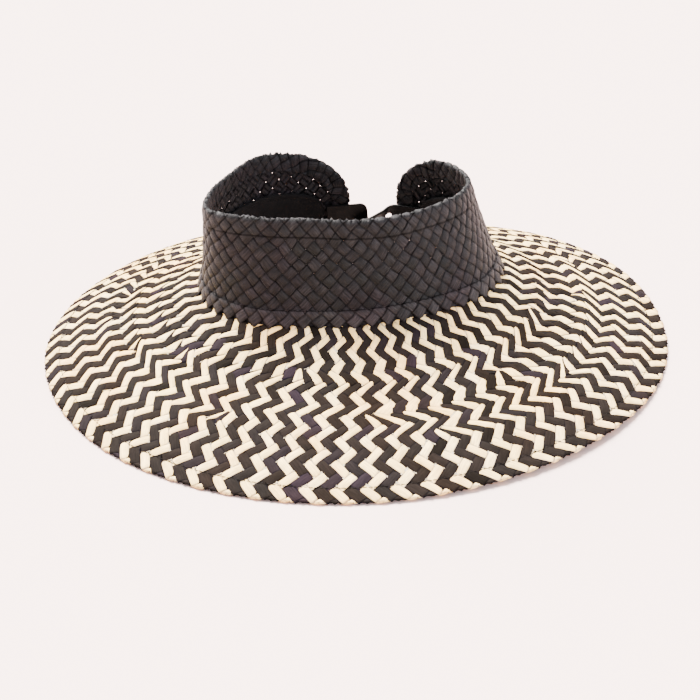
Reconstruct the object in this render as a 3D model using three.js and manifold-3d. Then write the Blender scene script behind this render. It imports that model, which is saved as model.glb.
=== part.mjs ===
// A wide-brim straw sun visor: a plaited cone-shaped brim, split at the back, round an open-top
// band of black plait that a two-part plastic snap strap closes at the back.
//
// Millimetres, +Z up. The wearer's forehead faces -Y and the open back faces +Y. The visor rests on
// the edge of its brim at z = 0. A place round the head is an angle in degrees, measured from the
// front, growing to the right (+X), so the back is at 180 and -180.

import * as THREE from 'three';
import { mergeVertices } from 'three/addons/utils/BufferGeometryUtils.js';
import Module from 'manifold-3d';

// Driving dimensions
const gap = 0.3;                     // clearance between pieces that touch on the real visor

const brimThickness = 1.8;
const brimHemWidth = 12;             // the edge is turned under by this much
const brimHemThickness = 3;
const brimFootWidth = 3;             // flat run of the hem that stands on the table
const brimEdgeHeight = 1.8;          // the hem's rounded-off upper edge, over its foot
const brimSlope = 21;                // mean slope of the cone, in degrees
const brimSteepening = 0.16;         // the cone is this much steeper at both ends than at mid width
const brimCornerRadius = 40;

const bandThickness = 2;
const bandHemHeight = 11.5;          // the top edge is folded over by this much
const bandHemSwell = 0.7;            // the fold stands this far proud on each side
const leftCorner = { length: 50, fall: 36 };   // rounding of the band's ends at the back opening
const rightCorner = { length: 38, fall: 29 };

const baseStripHeight = 9.5;
const baseStripThickness = 1.4;
const baseStripFlare = 1;

const sweatbandHeight = 28;
const sweatbandThickness = 1.2;
const sweatbandGap = 0.5;            // between its facets and the wall's
const sweatbandStop = 2;             // it stops this far short of the strap's sewn ends
const sweatbandOverlap = 1;          // it reaches this far below the brim's inner edge

const strapWidth = 14;
const strapThickness = 1.6;
const strapCornerRadius = 5;
const strapBottom = -0.5;            // height of its lower edge over the brim's inner edge
const strapSewnLength = 16;          // length of strap behind each end of the band
const strapTurnStart = 15;           // the free part's turn starts and ends here
const strapTurnLength = 8;
const strapClearance = 0.8;          // the flat strap's distance from the middle of the curved wall
const tabFreeLength = 11.5;
const tabRise = 4;                   // degrees above level
const holeStrapFreeLength = 30;
const holeStrapDroop = 25;           // degrees below level
const holeStrapTurn = 32;            // degrees, in towards the head, as the ring curves
const holeStrapTwist = 26;           // degrees, its upper edge turned in over the head opening
const holePitch = 6.6;
const pegDiameter = 3.8;
const pegHeight = 2.4;
const pegRoot = 0.4;                 // depth of a peg's root in the strap
const firstPeg = 2.2;                // from the band's end to the first peg
const secondPeg = 7.5;
const holeDiameter = 4.6;
const firstHole = 5;                 // from the band's end to the first hole
const holeCount = 4;

// Where the split at the back begins and ends
const leftEnd = -179.4;
const rightEnd = 158.6;

// Outline, one row every 22.5 degrees: radius of the brim's edge and how far it is lifted off the
// table, radius and height of the ring where brim and band meet, radius and height of the band's
// top. The band is squeezed at the front right, full at the front left, and leans in on the right.
const outlineStep = 22.5;
const outline = [
  { at: -180.0, edge: 190, lift: 0.0, ring: 82.5, ringHeight: 46, top: 82.0, topHeight: 98.5 },
  { at: -157.5, edge: 194, lift: 0.0, ring: 84.5, ringHeight: 46, top: 84.0, topHeight: 99.5 },
  { at: -135.0, edge: 198, lift: 0.0, ring: 89.5, ringHeight: 46, top: 85.0, topHeight: 104.0 },
  { at: -112.5, edge: 199, lift: 0.0, ring: 94.5, ringHeight: 46, top: 83.2, topHeight: 104.0 },
  { at: -90.0, edge: 199, lift: 0.0, ring: 96.0, ringHeight: 46, top: 87.5, topHeight: 105.7 },
  { at: -67.5, edge: 198, lift: 0.0, ring: 96.0, ringHeight: 46, top: 93.5, topHeight: 109.0 },
  { at: -45.0, edge: 199, lift: 0.0, ring: 88.5, ringHeight: 46, top: 79.0, topHeight: 111.5 },
  { at: -22.5, edge: 199, lift: 0.0, ring: 75.5, ringHeight: 46, top: 66.0, topHeight: 111.5 },
  { at: 0.0, edge: 199, lift: 0.0, ring: 71.0, ringHeight: 46, top: 62.3, topHeight: 110.2 },
  { at: 22.5, edge: 199, lift: 1.5, ring: 70.5, ringHeight: 46, top: 61.5, topHeight: 108.8 },
  { at: 45.0, edge: 199, lift: 2.5, ring: 76.5, ringHeight: 46, top: 63.0, topHeight: 108.6 },
  { at: 67.5, edge: 199, lift: 0.5, ring: 88.0, ringHeight: 46, top: 68.0, topHeight: 107.6 },
  { at: 90.0, edge: 199, lift: 0.0, ring: 93.8, ringHeight: 46, top: 73.4, topHeight: 104.8 },
  { at: 112.5, edge: 199, lift: 3.0, ring: 93.0, ringHeight: 46, top: 78.8, topHeight: 100.5 },
  { at: 135.0, edge: 196, lift: 2.0, ring: 89.0, ringHeight: 46, top: 83.6, topHeight: 97.3 },
  { at: 157.5, edge: 187, lift: 0.0, ring: 85.5, ringHeight: 46, top: 84.0, topHeight: 94.5 },
];

// A smooth closed curve through one column of the outline table
function outlineAt(field, angle) {
  const place = (angle - outline[0].at) / outlineStep;
  const row = Math.floor(place);
  const along = place - row;
  const value = (k) => outline[((row + k) % outline.length + outline.length) % outline.length][field];
  const before = value(-1);
  const start = value(0);
  const end = value(1);
  const after = value(2);
  const startSlope = (end - before) / 2;
  const endSlope = (after - start) / 2;
  const square = along * along;
  const cube = square * along;
  return (2 * cube - 3 * square + 1) * start + (cube - 2 * square + along) * startSlope
    + (3 * square - 2 * cube) * end + (cube - square) * endSlope;
}

function polar(angle, radius, height) {
  const turn = THREE.MathUtils.degToRad(angle);
  return new THREE.Vector3(radius * Math.sin(turn), -radius * Math.cos(turn), height);
}

// How far an oval corner has fallen away at a distance from its end
function cornerDrop(distance, length, fall) {
  if (distance >= length) return 0;
  const left = 1 - distance / length;
  return fall * (1 - Math.sqrt(1 - left * left));
}

// Angles of a wall's columns, from the left end of the split round to the right end: even steps,
// with closer ones through the angle that a rounded corner takes at each end
function columnAngles(evenSteps, cornerSteps, leftTurn, rightTurn) {
  const cornerPart = (step) => 1 - Math.cos((Math.PI / 2) * (step / cornerSteps));
  const angles = [];
  for (let step = 0; step < cornerSteps; step += 1) {
    angles.push(leftEnd + cornerPart(step) * leftTurn);
  }
  const evenStart = leftEnd + leftTurn;
  const evenEnd = rightEnd - rightTurn;
  for (let step = 0; step <= evenSteps; step += 1) {
    angles.push(evenStart + ((evenEnd - evenStart) * step) / evenSteps);
  }
  for (let step = cornerSteps - 1; step >= 0; step -= 1) {
    angles.push(rightEnd - cornerPart(step) * rightTurn);
  }
  return angles;
}

// A closed wall from two skins, each a grid of points given by column and row
function closedWall(columns, rows, outside, inside) {
  const positions = [];
  for (const skin of [outside, inside]) {
    for (let column = 0; column < columns; column += 1) {
      for (let row = 0; row < rows; row += 1) {
        positions.push(...skin(column, row).toArray());
      }
    }
  }
  const at = (skin, column, row) => (skin * columns + column) * rows + row;
  const triangles = [];
  const quad = (a, b, c, d) => triangles.push(a, b, c, a, c, d);
  for (let column = 0; column < columns - 1; column += 1) {
    for (let row = 0; row < rows - 1; row += 1) {
      const next = column + 1;
      quad(at(0, column, row), at(0, next, row), at(0, next, row + 1), at(0, column, row + 1));
      quad(at(1, column, row), at(1, column, row + 1), at(1, next, row + 1), at(1, next, row));
    }
    const last = rows - 1;
    quad(at(0, column, 0), at(1, column, 0), at(1, column + 1, 0), at(0, column + 1, 0));
    quad(at(0, column, last), at(0, column + 1, last), at(1, column + 1, last), at(1, column, last));
  }
  for (let row = 0; row < rows - 1; row += 1) {
    const last = columns - 1;
    quad(at(0, 0, row), at(0, 0, row + 1), at(1, 0, row + 1), at(1, 0, row));
    quad(at(0, last, row), at(1, last, row), at(1, last, row + 1), at(0, last, row + 1));
  }
  const geometry = new THREE.BufferGeometry();
  geometry.setAttribute('position', new THREE.Float32BufferAttribute(positions, 3));
  geometry.setIndex(triangles);
  return facingOut(geometry);
}

// Turns every triangle over where the closed surface would enclose a negative volume
function facingOut(geometry) {
  const index = geometry.index.array;
  const position = geometry.attributes.position;
  const corner = [new THREE.Vector3(), new THREE.Vector3(), new THREE.Vector3()];
  let volume = 0;
  for (let i = 0; i < index.length; i += 3) {
    corner.forEach((vertex, k) => vertex.fromBufferAttribute(position, index[i + k]));
    volume += corner[0].dot(corner[1].clone().cross(corner[2]));
  }
  if (volume < 0) {
    for (let i = 0; i < index.length; i += 3) [index[i], index[i + 1]] = [index[i + 1], index[i]];
  }
  geometry.computeVertexNormals();
  return geometry;
}

// The brim, from the ring (across = 0) out to its edge (across = 1)
function brimTop(angle, across, edgeRadius) {
  const inner = outlineAt('ring', angle) + gap;
  const ringHeight = outlineAt('ringHeight', angle);
  const full = outlineAt('edge', angle);
  const radius = inner + (edgeRadius - inner) * across;
  const reach = (radius - inner) / (full - inner);
  const fall = reach + (brimSteepening * Math.sin(2 * Math.PI * reach)) / (2 * Math.PI);
  const edgeHeight = outlineAt('lift', angle) + brimEdgeHeight;
  return polar(angle, radius, ringHeight + (edgeHeight - ringHeight) * fall);
}

function brimGeometry() {
  const evenColumns = 88;
  const cornerColumns = 7;
  const fieldRows = [0, 0.16, 0.34, 0.52, 0.7];
  const hemStep = 0.02;
  const leftTurn = THREE.MathUtils.radToDeg(brimCornerRadius / outlineAt('edge', leftEnd));
  const rightTurn = THREE.MathUtils.radToDeg(brimCornerRadius / outlineAt('edge', rightEnd));
  const angles = columnAngles(evenColumns, cornerColumns, leftTurn, rightTurn);
  const edges = angles.map((angle) => {
    const full = outlineAt('edge', angle);
    const perDegree = full * THREE.MathUtils.degToRad(1);
    const fromLeft = cornerDrop((angle - leftEnd) * perDegree, brimCornerRadius, brimCornerRadius);
    const fromRight = cornerDrop((rightEnd - angle) * perDegree, brimCornerRadius, brimCornerRadius);
    return full - fromLeft - fromRight;
  });
  const acrossRows = (column) => {
    const width = edges[column] - outlineAt('ring', angles[column]) - gap;
    const hemStart = 1 - brimHemWidth / width;
    const footStart = 1 - brimFootWidth / width;
    return [...fieldRows, hemStart - hemStep, hemStart, footStart, 1];
  };
  const outside = (column, row) => brimTop(angles[column], acrossRows(column)[row], edges[column]);
  const inside = (column, row) => {
    const point = outside(column, row);
    const thickness = row > fieldRows.length ? brimHemThickness : brimThickness;
    const foot = Math.max(outlineAt('lift', angles[column]), 0);
    point.z = Math.max(point.z - thickness / Math.cos(THREE.MathUtils.degToRad(brimSlope)), foot);
    return point;
  };
  return closedWall(angles.length, acrossRows(0).length, outside, inside);
}

// The band's outer face between the ring and the top, moved outward by an offset. It stands
// upright below the ring.
function bandPoint(angle, height, offset) {
  const ringHeight = outlineAt('ringHeight', angle);
  const rise = Math.max(height - ringHeight, 0);
  const share = rise / (outlineAt('topHeight', angle) - ringHeight);
  const radiusAt = (a) => {
    const ring = outlineAt('ring', a);
    return ring + (outlineAt('top', a) - ring) * share;
  };
  const point = polar(angle, radiusAt(angle), height);
  const step = 0.5;                  // degrees
  const along = polar(angle + step, radiusAt(angle + step), height)
    .sub(polar(angle - step, radiusAt(angle - step), height))
    .normalize();
  const outward = new THREE.Vector3(along.y, -along.x, 0);
  return point.addScaledVector(outward, offset);
}

function bandTopHeight(angle) {
  const perDegree = outlineAt('ring', angle) * THREE.MathUtils.degToRad(1);
  const fromLeft = cornerDrop((angle - leftEnd) * perDegree, leftCorner.length, leftCorner.fall);
  const fromRight = cornerDrop((rightEnd - angle) * perDegree, rightCorner.length, rightCorner.fall);
  return outlineAt('topHeight', angle) - fromLeft - fromRight;
}

function bandGeometry() {
  const evenColumns = 62;
  const cornerColumns = 8;
  const roundOff = 0.8;
  const hemStep = 0.5;
  const leftTurn = THREE.MathUtils.radToDeg(leftCorner.length / outlineAt('ring', leftEnd));
  const rightTurn = THREE.MathUtils.radToDeg(rightCorner.length / outlineAt('ring', rightEnd));
  const angles = columnAngles(evenColumns, cornerColumns, leftTurn, rightTurn);
  const rows = [
    { fromTop: 0, swollen: 0.2 },
    { fromTop: roundOff, swollen: 1 },
    { fromTop: bandHemHeight - hemStep, swollen: 1 },
    { fromTop: bandHemHeight, swollen: 0 },
    { share: 0.62, swollen: 0 },
    { share: 0.3, swollen: 0 },
    { share: 0, swollen: 0 },
  ];
  const height = (column, row) => {
    const bottom = outlineAt('ringHeight', angles[column]) - brimThickness;
    const top = bandTopHeight(angles[column]);
    const { fromTop, share } = rows[row];
    if (fromTop !== undefined) return top - fromTop;
    return bottom + (top - bandHemHeight - bottom) * share;
  };
  // The fold flattens out where it comes down to the strap at the two ends
  const flattening = { start: 6, end: 1 };
  const swell = (column, row) => {
    const strapTop = outlineAt('ringHeight', angles[column]) + strapBottom + strapWidth;
    const above = bandTopHeight(angles[column]) - bandHemHeight - strapTop;
    const full = THREE.MathUtils.smoothstep(above, flattening.end, flattening.start);
    return bandHemSwell * rows[row].swollen * full;
  };
  const outside = (column, row) => (
    bandPoint(angles[column], height(column, row), swell(column, row))
  );
  const inside = (column, row) => (
    bandPoint(angles[column], height(column, row), -bandThickness - swell(column, row))
  );
  return closedWall(angles.length, rows.length, outside, inside);
}

function baseStripGeometry() {
  const evenColumns = 84;
  const angles = columnAngles(evenColumns, 0, 0, 0);
  const rows = [
    { rise: baseStripHeight, flare: 0 },
    { rise: baseStripHeight * 0.55, flare: baseStripFlare * 0.3 },
    { rise: gap, flare: baseStripFlare },
  ];
  const height = (column, row) => outlineAt('ringHeight', angles[column]) + rows[row].rise;
  const outside = (column, row) => {
    const offset = gap + baseStripThickness + rows[row].flare;
    return bandPoint(angles[column], height(column, row), offset);
  };
  const inside = (column, row) => bandPoint(angles[column], height(column, row), gap);
  return closedWall(angles.length, rows.length, outside, inside);
}

function sweatbandGeometry() {
  const evenColumns = 64;
  const clearOfStrap = (angle) => (
    THREE.MathUtils.radToDeg((strapSewnLength + sweatbandStop) / outlineAt('ring', angle))
  );
  const start = leftEnd + clearOfStrap(leftEnd);
  const end = rightEnd - clearOfStrap(rightEnd);
  const angles = [];
  for (let step = 0; step <= evenColumns; step += 1) {
    angles.push(start + ((end - start) * step) / evenColumns);
  }
  const rises = [sweatbandHeight, sweatbandHeight / 2, -sweatbandOverlap];
  const near = -bandThickness - sweatbandGap;
  const height = (column, row) => outlineAt('ringHeight', angles[column]) + rises[row];
  const outside = (column, row) => bandPoint(angles[column], height(column, row), near);
  const inside = (column, row) => (
    bandPoint(angles[column], height(column, row), near - sweatbandThickness)
  );
  return closedWall(angles.length, rises.length, outside, inside);
}

// Half of the snap strap. `side` is 1 where it leaves the left end of the band towards +X and -1
// where it leaves the right end. It is straight along its sewn length, then turns and twists evenly
// through its first few millimetres.
function strapFrame(side, droop, turn, twist) {
  const end = side > 0 ? leftEnd : rightEnd;
  const backwards = THREE.MathUtils.radToDeg(strapSewnLength / outlineAt('ring', end));
  const height = outlineAt('ringHeight', end) + strapBottom + strapWidth / 2;
  const behindBand = -bandThickness - strapClearance - strapThickness / 2;
  const root = bandPoint(end + side * backwards, height, behindBand);
  const exit = bandPoint(end, height, behindBand);
  const level = exit.clone().sub(root).normalize();
  return (along) => {
    const past = THREE.MathUtils.clamp((along - strapTurnStart) / strapTurnLength, 0, 1);
    const ease = past * past * (3 - 2 * past);
    const drop = THREE.MathUtils.degToRad(droop) * ease;
    const roll = THREE.MathUtils.degToRad(twist) * ease;
    const yaw = THREE.MathUtils.degToRad(turn) * ease;
    const heading = level.clone().applyAxisAngle(new THREE.Vector3(0, 0, 1), -side * yaw);
    const outward = new THREE.Vector3(heading.y, -heading.x, 0).multiplyScalar(-side);
    const forward = heading.multiplyScalar(Math.cos(drop));
    forward.z -= Math.sin(drop);
    const up = forward.clone().cross(outward).normalize();
    if (up.z < 0) up.negate();
    const across = up.clone().multiplyScalar(Math.cos(roll));
    across.addScaledVector(outward, -Math.sin(roll));
    const through = outward.clone().multiplyScalar(Math.cos(roll));
    through.addScaledVector(up, Math.sin(roll));
    return { forward, across, through, root };
  };
}

// Centre line of the strap, summed in short steps from its root
function strapCentre(frame, along) {
  const centre = frame(0).root.clone();
  const steps = 24;
  for (let step = 0; step < steps; step += 1) {
    centre.addScaledVector(frame(((step + 0.5) * along) / steps).forward, along / steps);
  }
  return centre;
}

function strapGeometry(frame, length) {
  const turnSteps = 5;
  const cornerSteps = 5;
  const stations = [0, strapTurnStart / 2];
  for (let step = 0; step <= turnSteps; step += 1) {
    const along = strapTurnStart + (strapTurnLength * step) / turnSteps;
    if (along < length - strapCornerRadius) stations.push(along);
  }
  for (let step = cornerSteps; step >= 0; step -= 1) {
    const part = 1 - Math.cos((Math.PI / 2) * (step / cornerSteps));
    stations.push(length - strapCornerRadius * part);
  }
  const rows = [0.5, 0, -0.5];
  const skin = (side) => (column, row) => {
    const along = stations[column];
    const { across, through } = frame(along);
    const corner = cornerDrop(length - along, strapCornerRadius, strapCornerRadius);
    const width = strapWidth - 2 * corner;
    return strapCentre(frame, along)
      .addScaledVector(across, rows[row] * width)
      .addScaledVector(through, (side * strapThickness) / 2);
  };
  return closedWall(stations.length, rows.length, skin(1), skin(-1));
}

const wasm = await Module();
wasm.setup();

function toSolid(geometry) {
  const merged = geometry.clone();
  merged.deleteAttribute('normal');
  merged.deleteAttribute('uv');
  const welded = mergeVertices(merged, 1e-4);
  return new wasm.Manifold(new wasm.Mesh({
    numProp: 3,
    vertProperties: new Float32Array(welded.attributes.position.array),
    triVerts: new Uint32Array(welded.index.array),
  }));
}

function toGeometry(solid) {
  const mesh = solid.getMesh();
  const geometry = new THREE.BufferGeometry();
  geometry.setAttribute('position', new THREE.Float32BufferAttribute(mesh.vertProperties, 3));
  geometry.setIndex(Array.from(mesh.triVerts));
  geometry.computeVertexNormals();
  return geometry;
}

// A round pin across the strap, centred at a distance along it and through its thickness
function crossPin(frame, along, diameter, from, to) {
  const { through } = frame(along);
  const sides = 14;
  const pin = new THREE.CylinderGeometry(diameter / 2, diameter / 2, to - from, sides);
  const centre = strapCentre(frame, along).addScaledVector(through, (from + to) / 2);
  const turn = new THREE.Quaternion().setFromUnitVectors(new THREE.Vector3(0, 1, 0), through);
  pin.applyQuaternion(turn);
  pin.translate(centre.x, centre.y, centre.z);
  return toSolid(pin);
}

function pegStrapGeometry() {
  const frame = strapFrame(1, -tabRise, 0, 0);
  let solid = toSolid(strapGeometry(frame, strapSewnLength + tabFreeLength));
  const near = strapThickness / 2 - pegRoot;
  const far = strapThickness / 2 + pegHeight;
  for (const along of [strapSewnLength + firstPeg, strapSewnLength + secondPeg]) {
    solid = solid.add(crossPin(frame, along, pegDiameter, near, far));
  }
  return toGeometry(solid);
}

function holeStrapGeometry() {
  const frame = strapFrame(-1, holeStrapDroop, holeStrapTurn, holeStrapTwist);
  let solid = toSolid(strapGeometry(frame, strapSewnLength + holeStrapFreeLength));
  for (let hole = 0; hole < holeCount; hole += 1) {
    const along = strapSewnLength + firstHole + hole * holePitch;
    solid = solid.subtract(crossPin(frame, along, holeDiameter, -strapThickness, strapThickness));
  }
  return toGeometry(solid);
}

// The assembly
const visor = new THREE.Group();

function addPiece(name, geometry, color, roughness) {
  const material = new THREE.MeshStandardMaterial({ color, roughness, metalness: 0 });
  const mesh = new THREE.Mesh(geometry, material);
  mesh.name = name;
  visor.add(mesh);
}

addPiece('brim', brimGeometry(), 0xb8ad9c, 0.75);
addPiece('base_strip', baseStripGeometry(), 0x3f3a3a, 0.7);
addPiece('crown_band', bandGeometry(), 0x3c383a, 0.7);
addPiece('sweatband', sweatbandGeometry(), 0x1c1a1b, 0.85);
addPiece('snap_strap_pegs', pegStrapGeometry(), 0x141314, 0.4);
addPiece('snap_strap_holes', holeStrapGeometry(), 0x141314, 0.4);

// The origin is the middle of the space that the visor covers, on the table
const box = new THREE.Box3().setFromObject(visor);
visor.position.set(-(box.min.x + box.max.x) / 2, -(box.min.y + box.max.y) / 2, -box.min.z);
visor.updateMatrixWorld(true);

export default visor;
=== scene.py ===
import math

import bmesh
import bpy
import numpy as np
from mathutils import Matrix, Vector


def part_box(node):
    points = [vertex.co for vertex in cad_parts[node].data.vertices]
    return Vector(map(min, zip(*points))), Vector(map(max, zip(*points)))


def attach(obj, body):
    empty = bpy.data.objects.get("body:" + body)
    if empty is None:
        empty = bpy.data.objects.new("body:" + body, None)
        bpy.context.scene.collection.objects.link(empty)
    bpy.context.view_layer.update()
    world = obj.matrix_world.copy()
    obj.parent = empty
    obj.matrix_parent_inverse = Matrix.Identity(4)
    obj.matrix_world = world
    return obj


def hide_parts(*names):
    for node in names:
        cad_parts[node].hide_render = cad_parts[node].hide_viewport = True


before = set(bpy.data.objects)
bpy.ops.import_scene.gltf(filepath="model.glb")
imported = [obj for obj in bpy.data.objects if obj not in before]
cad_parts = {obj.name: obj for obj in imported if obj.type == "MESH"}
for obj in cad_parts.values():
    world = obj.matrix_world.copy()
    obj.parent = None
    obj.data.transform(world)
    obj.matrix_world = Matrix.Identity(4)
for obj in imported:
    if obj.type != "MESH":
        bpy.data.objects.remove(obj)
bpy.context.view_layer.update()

# A wide-brim straw sun visor, in metres, +Z up, resting on the edge of its brim. The forehead faces
# -Y and the open back +Y. A place round the head is an angle in degrees, measured from the front and
# growing to the right (+X).

# Camera, floor and light
# The visor is seen from the front, 27.6 degrees above the floor, with the camera tilted a little to
# one side. The floor is a plain pale sheet, and the light is broad and soft, strongest from behind,
# on the left.
scene = bpy.context.scene
brim_low, brim_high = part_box("brim")
full_radius = 0.199                      # of the brim
head_centre = (brim_high[0] - full_radius, brim_low[1] + full_radius)

camera_elevation = math.radians(27.6)
camera_tilt = 0.0333
camera_distance = 1.181                  # from the middle of the brim's circle, on the floor
camera_sensor = 0.036
camera_lens = 2.6186 * camera_sensor
camera_shift = (-0.00757, -0.01715)


def linear(colour):
    """Linear RGBA of an sRGB hex colour."""
    channels = [int(colour[i:i + 2], 16) / 255 for i in (1, 3, 5)]
    return [c / 12.92 if c <= 0.04045 else ((c + 0.055) / 1.055) ** 2.4 for c in channels] + [1.0]


def add_node(tree, kind, settings=None, inputs=None):
    """A new node, with its settings, and with values or links for its inputs."""
    node = tree.nodes.new(kind)
    for name, value in (settings or {}).items():
        setattr(node, name, value)
    for key, value in (inputs or {}).items():
        if isinstance(value, bpy.types.NodeSocket):
            tree.links.new(value, node.inputs[key])
        else:
            node.inputs[key].default_value = value
    return node


def new_material(name):
    """A bare material and its tree."""
    material = bpy.data.materials.new(name)
    material.use_nodes = True
    material.node_tree.nodes.clear()
    return material, material.node_tree


def finish_material(tree, colour, roughness, specular, normal=None):
    """Ends a material's tree in one shader. Each finish is a value or a link."""
    inputs = {"Base Color": colour, "Roughness": roughness, "Specular IOR Level": specular}
    if normal:
        inputs["Normal"] = normal
    shader = add_node(tree, "ShaderNodeBsdfPrincipled", None, inputs)
    add_node(tree, "ShaderNodeOutputMaterial", None, {"Surface": shader.outputs[0]})


def place_camera():
    forward = Vector((0, math.cos(camera_elevation), -math.sin(camera_elevation)))
    right = Vector((1, 0, 0))
    up = right.cross(forward)
    side = right * math.cos(camera_tilt) - up * math.sin(camera_tilt)
    top = up * math.cos(camera_tilt) + right * math.sin(camera_tilt)
    data = bpy.data.cameras.new("camera")
    data.sensor_fit = "HORIZONTAL"
    data.sensor_width = camera_sensor * 1000
    data.lens = camera_lens * 1000
    data.shift_x, data.shift_y = camera_shift
    data.clip_end = 20
    camera = bpy.data.objects.new("camera", data)
    turn = Matrix((side, top, -forward)).transposed().to_4x4()
    aim = Vector((*head_centre, 0))
    camera.matrix_world = Matrix.Translation(aim - forward * camera_distance) @ turn
    scene.collection.objects.link(camera)
    scene.camera = camera


def place_floor():
    size = 12.0
    corners = [(-size, -size, 0), (size, -size, 0), (size, size, 0), (-size, size, 0)]
    mesh = bpy.data.meshes.new("floor")
    mesh.from_pydata(corners, [], [(0, 1, 2, 3)])
    material, tree = new_material("pale_paper")
    finish_material(tree, linear("#d2bab3"), roughness=0.9, specular=0.1)
    mesh.materials.append(material)
    floor = bpy.data.objects.new("floor", mesh)
    scene.collection.objects.link(floor)


def add_softbox(name, angle, height, width, strength, colour):
    """Light from far off that fills a wide cone of the sky, so that its shadows are soft."""
    data = bpy.data.lights.new(name, "SUN")
    data.angle = math.radians(width)
    data.energy = strength
    data.color = linear(colour)[:3]
    lamp = bpy.data.objects.new(name, data)
    turn, rise = math.radians(angle), math.radians(height)
    towards = Vector((math.sin(turn) * math.cos(rise), -math.cos(turn) * math.cos(rise), math.sin(rise)))
    lamp.rotation_euler = towards.to_track_quat("Z", "Y").to_euler()
    scene.collection.objects.link(lamp)


place_camera()
place_floor()
add_softbox("overhead", angle=-145, height=62, width=36, strength=31.0, colour="#fffaf6")
add_softbox("back", angle=-150, height=34, width=30, strength=8.0, colour="#fffaf6")
add_softbox("side", angle=62, height=16, width=40, strength=4.6, colour="#f0f1ff")
world = bpy.data.worlds.new("studio")
scene.world = world
world.use_nodes = True
world.node_tree.nodes.clear()
sky = add_node(world.node_tree, "ShaderNodeBackground", None, {
    "Color": linear("#f2f1f8"), "Strength": 2.35})
add_node(world.node_tree, "ShaderNodeOutputWorld", None, {"Surface": sky.outputs[0]})

# Brim
# Flat straw strips, cream and dark brown, plaited on the bias over two and under two, so that each
# colour runs out from the head in a zigzag. The edge is turned under by 12 mm and stitched down.
edge_height = 0.0018
brim_steepening = 0.16                   # the cone is this much steeper at both ends than between
brim_corner = 0.040                      # radius of the corners at the split
left_end, right_end = -179.4, 158.6      # the split at the back is between these
turned_width = 0.0107
brim_fold_radius = 0.0006
straw_crown = 0.00033                    # a strip stands this far over the plait's mean surface
foot_rise = 0.0017                       # of the mean surface over the table, at the edge
foot_softness = 0.0006

# Every 22.5 degrees from the back, by way of the left: radius of the brim's edge, its lift off the
# table, radius of the ring where brim and band meet, and radius and height of the band's top
outline_start, outline_step = -180.0, 22.5
ring_height = 0.046
outline = {
    "edge": (0.190, 0.194, 0.198, 0.199, 0.199, 0.198, 0.199, 0.199,
             0.199, 0.199, 0.199, 0.199, 0.199, 0.199, 0.196, 0.187),
    "lift": (0.0, 0.0, 0.0, 0.0, 0.0, 0.0, 0.0, 0.0,
             0.0, 0.0015, 0.0025, 0.0005, 0.0, 0.0030, 0.0020, 0.0),
    "ring": (0.0825, 0.0845, 0.0895, 0.0945, 0.0960, 0.0960, 0.0885, 0.0755,
             0.0710, 0.0705, 0.0765, 0.0880, 0.0938, 0.0930, 0.0890, 0.0855),
    "top": (0.0820, 0.0840, 0.0850, 0.0832, 0.0875, 0.0935, 0.0790, 0.0660,
            0.0623, 0.0615, 0.0630, 0.0680, 0.0734, 0.0788, 0.0836, 0.0840),
    "top_height": (0.0985, 0.0995, 0.1040, 0.1040, 0.1057, 0.1090, 0.1115, 0.1115,
                   0.1102, 0.1088, 0.1086, 0.1076, 0.1048, 0.1005, 0.0973, 0.0945)}


def outline_at(field, angle):
    """A smooth closed curve through one row of the outline table."""
    values = np.array(outline[field])
    place = (np.asarray(angle, float) - outline_start) / outline_step
    column = np.floor(place).astype(int)
    along = place - column
    before, start, end, after = (values[(column + k) % len(values)] for k in (-1, 0, 1, 2))
    square, cube = along ** 2, along ** 3
    return ((2 * cube - 3 * square + 1) * start + (cube - 2 * square + along) * (end - before) / 2
            + (3 * square - 2 * cube) * end + (cube - square) * (after - start) / 2)


def round_head(angle, radius):
    """Plan position, from the middle of the brim's circle."""
    turn = np.radians(angle)
    return np.stack([radius * np.sin(turn), -radius * np.cos(turn)], -1)


def polar(plan):
    """Angle and radius of a plan position, with the angles running on through the back."""
    angle = np.degrees(np.arctan2(plan[..., 0], -plan[..., 1]))
    middle_of_split = (left_end + 360 + right_end) / 2
    return np.where(angle > middle_of_split, angle - 360, angle), np.hypot(plan[..., 0], plan[..., 1])


def brim_height(angle, radius):
    """Height of the plait's mean surface: a cone, flattened where its edge stands on the table."""
    inner = outline_at("ring", angle)
    reach = (radius - inner) / (outline_at("edge", angle) - inner)
    fall = reach + brim_steepening * np.sin(2 * np.pi * reach) / (2 * np.pi)
    lift = outline_at("lift", angle)
    cone = ring_height + (lift + edge_height - ring_height) * fall - straw_crown
    foot = lift + foot_rise
    return np.logaddexp(cone / foot_softness, foot / foot_softness) * foot_softness


def with_third(pairs, third):
    """Vectors from pairs and a third component."""
    return np.concatenate([pairs, np.broadcast_to(third, pairs.shape[:-1])[..., None]], -1)


def in_frame(plan, height):
    """Points in the shared frame from plan positions round the head."""
    return with_third(plan + np.array(head_centre), height)


def run_along(line):
    """Distance from a line's start to each of its points."""
    return np.concatenate([[0], np.cumsum(np.linalg.norm(np.diff(line, axis=0), axis=1))])


def even_steps(line, step):
    """Points at even distances along a line."""
    length = run_along(line)
    places = np.linspace(0, length[-1], int(length[-1] / step))
    return np.stack([np.interp(places, length, line[:, k]) for k in range(2)], -1)


def unit(vectors):
    return vectors / np.linalg.norm(vectors, axis=-1)[..., None]


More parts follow.
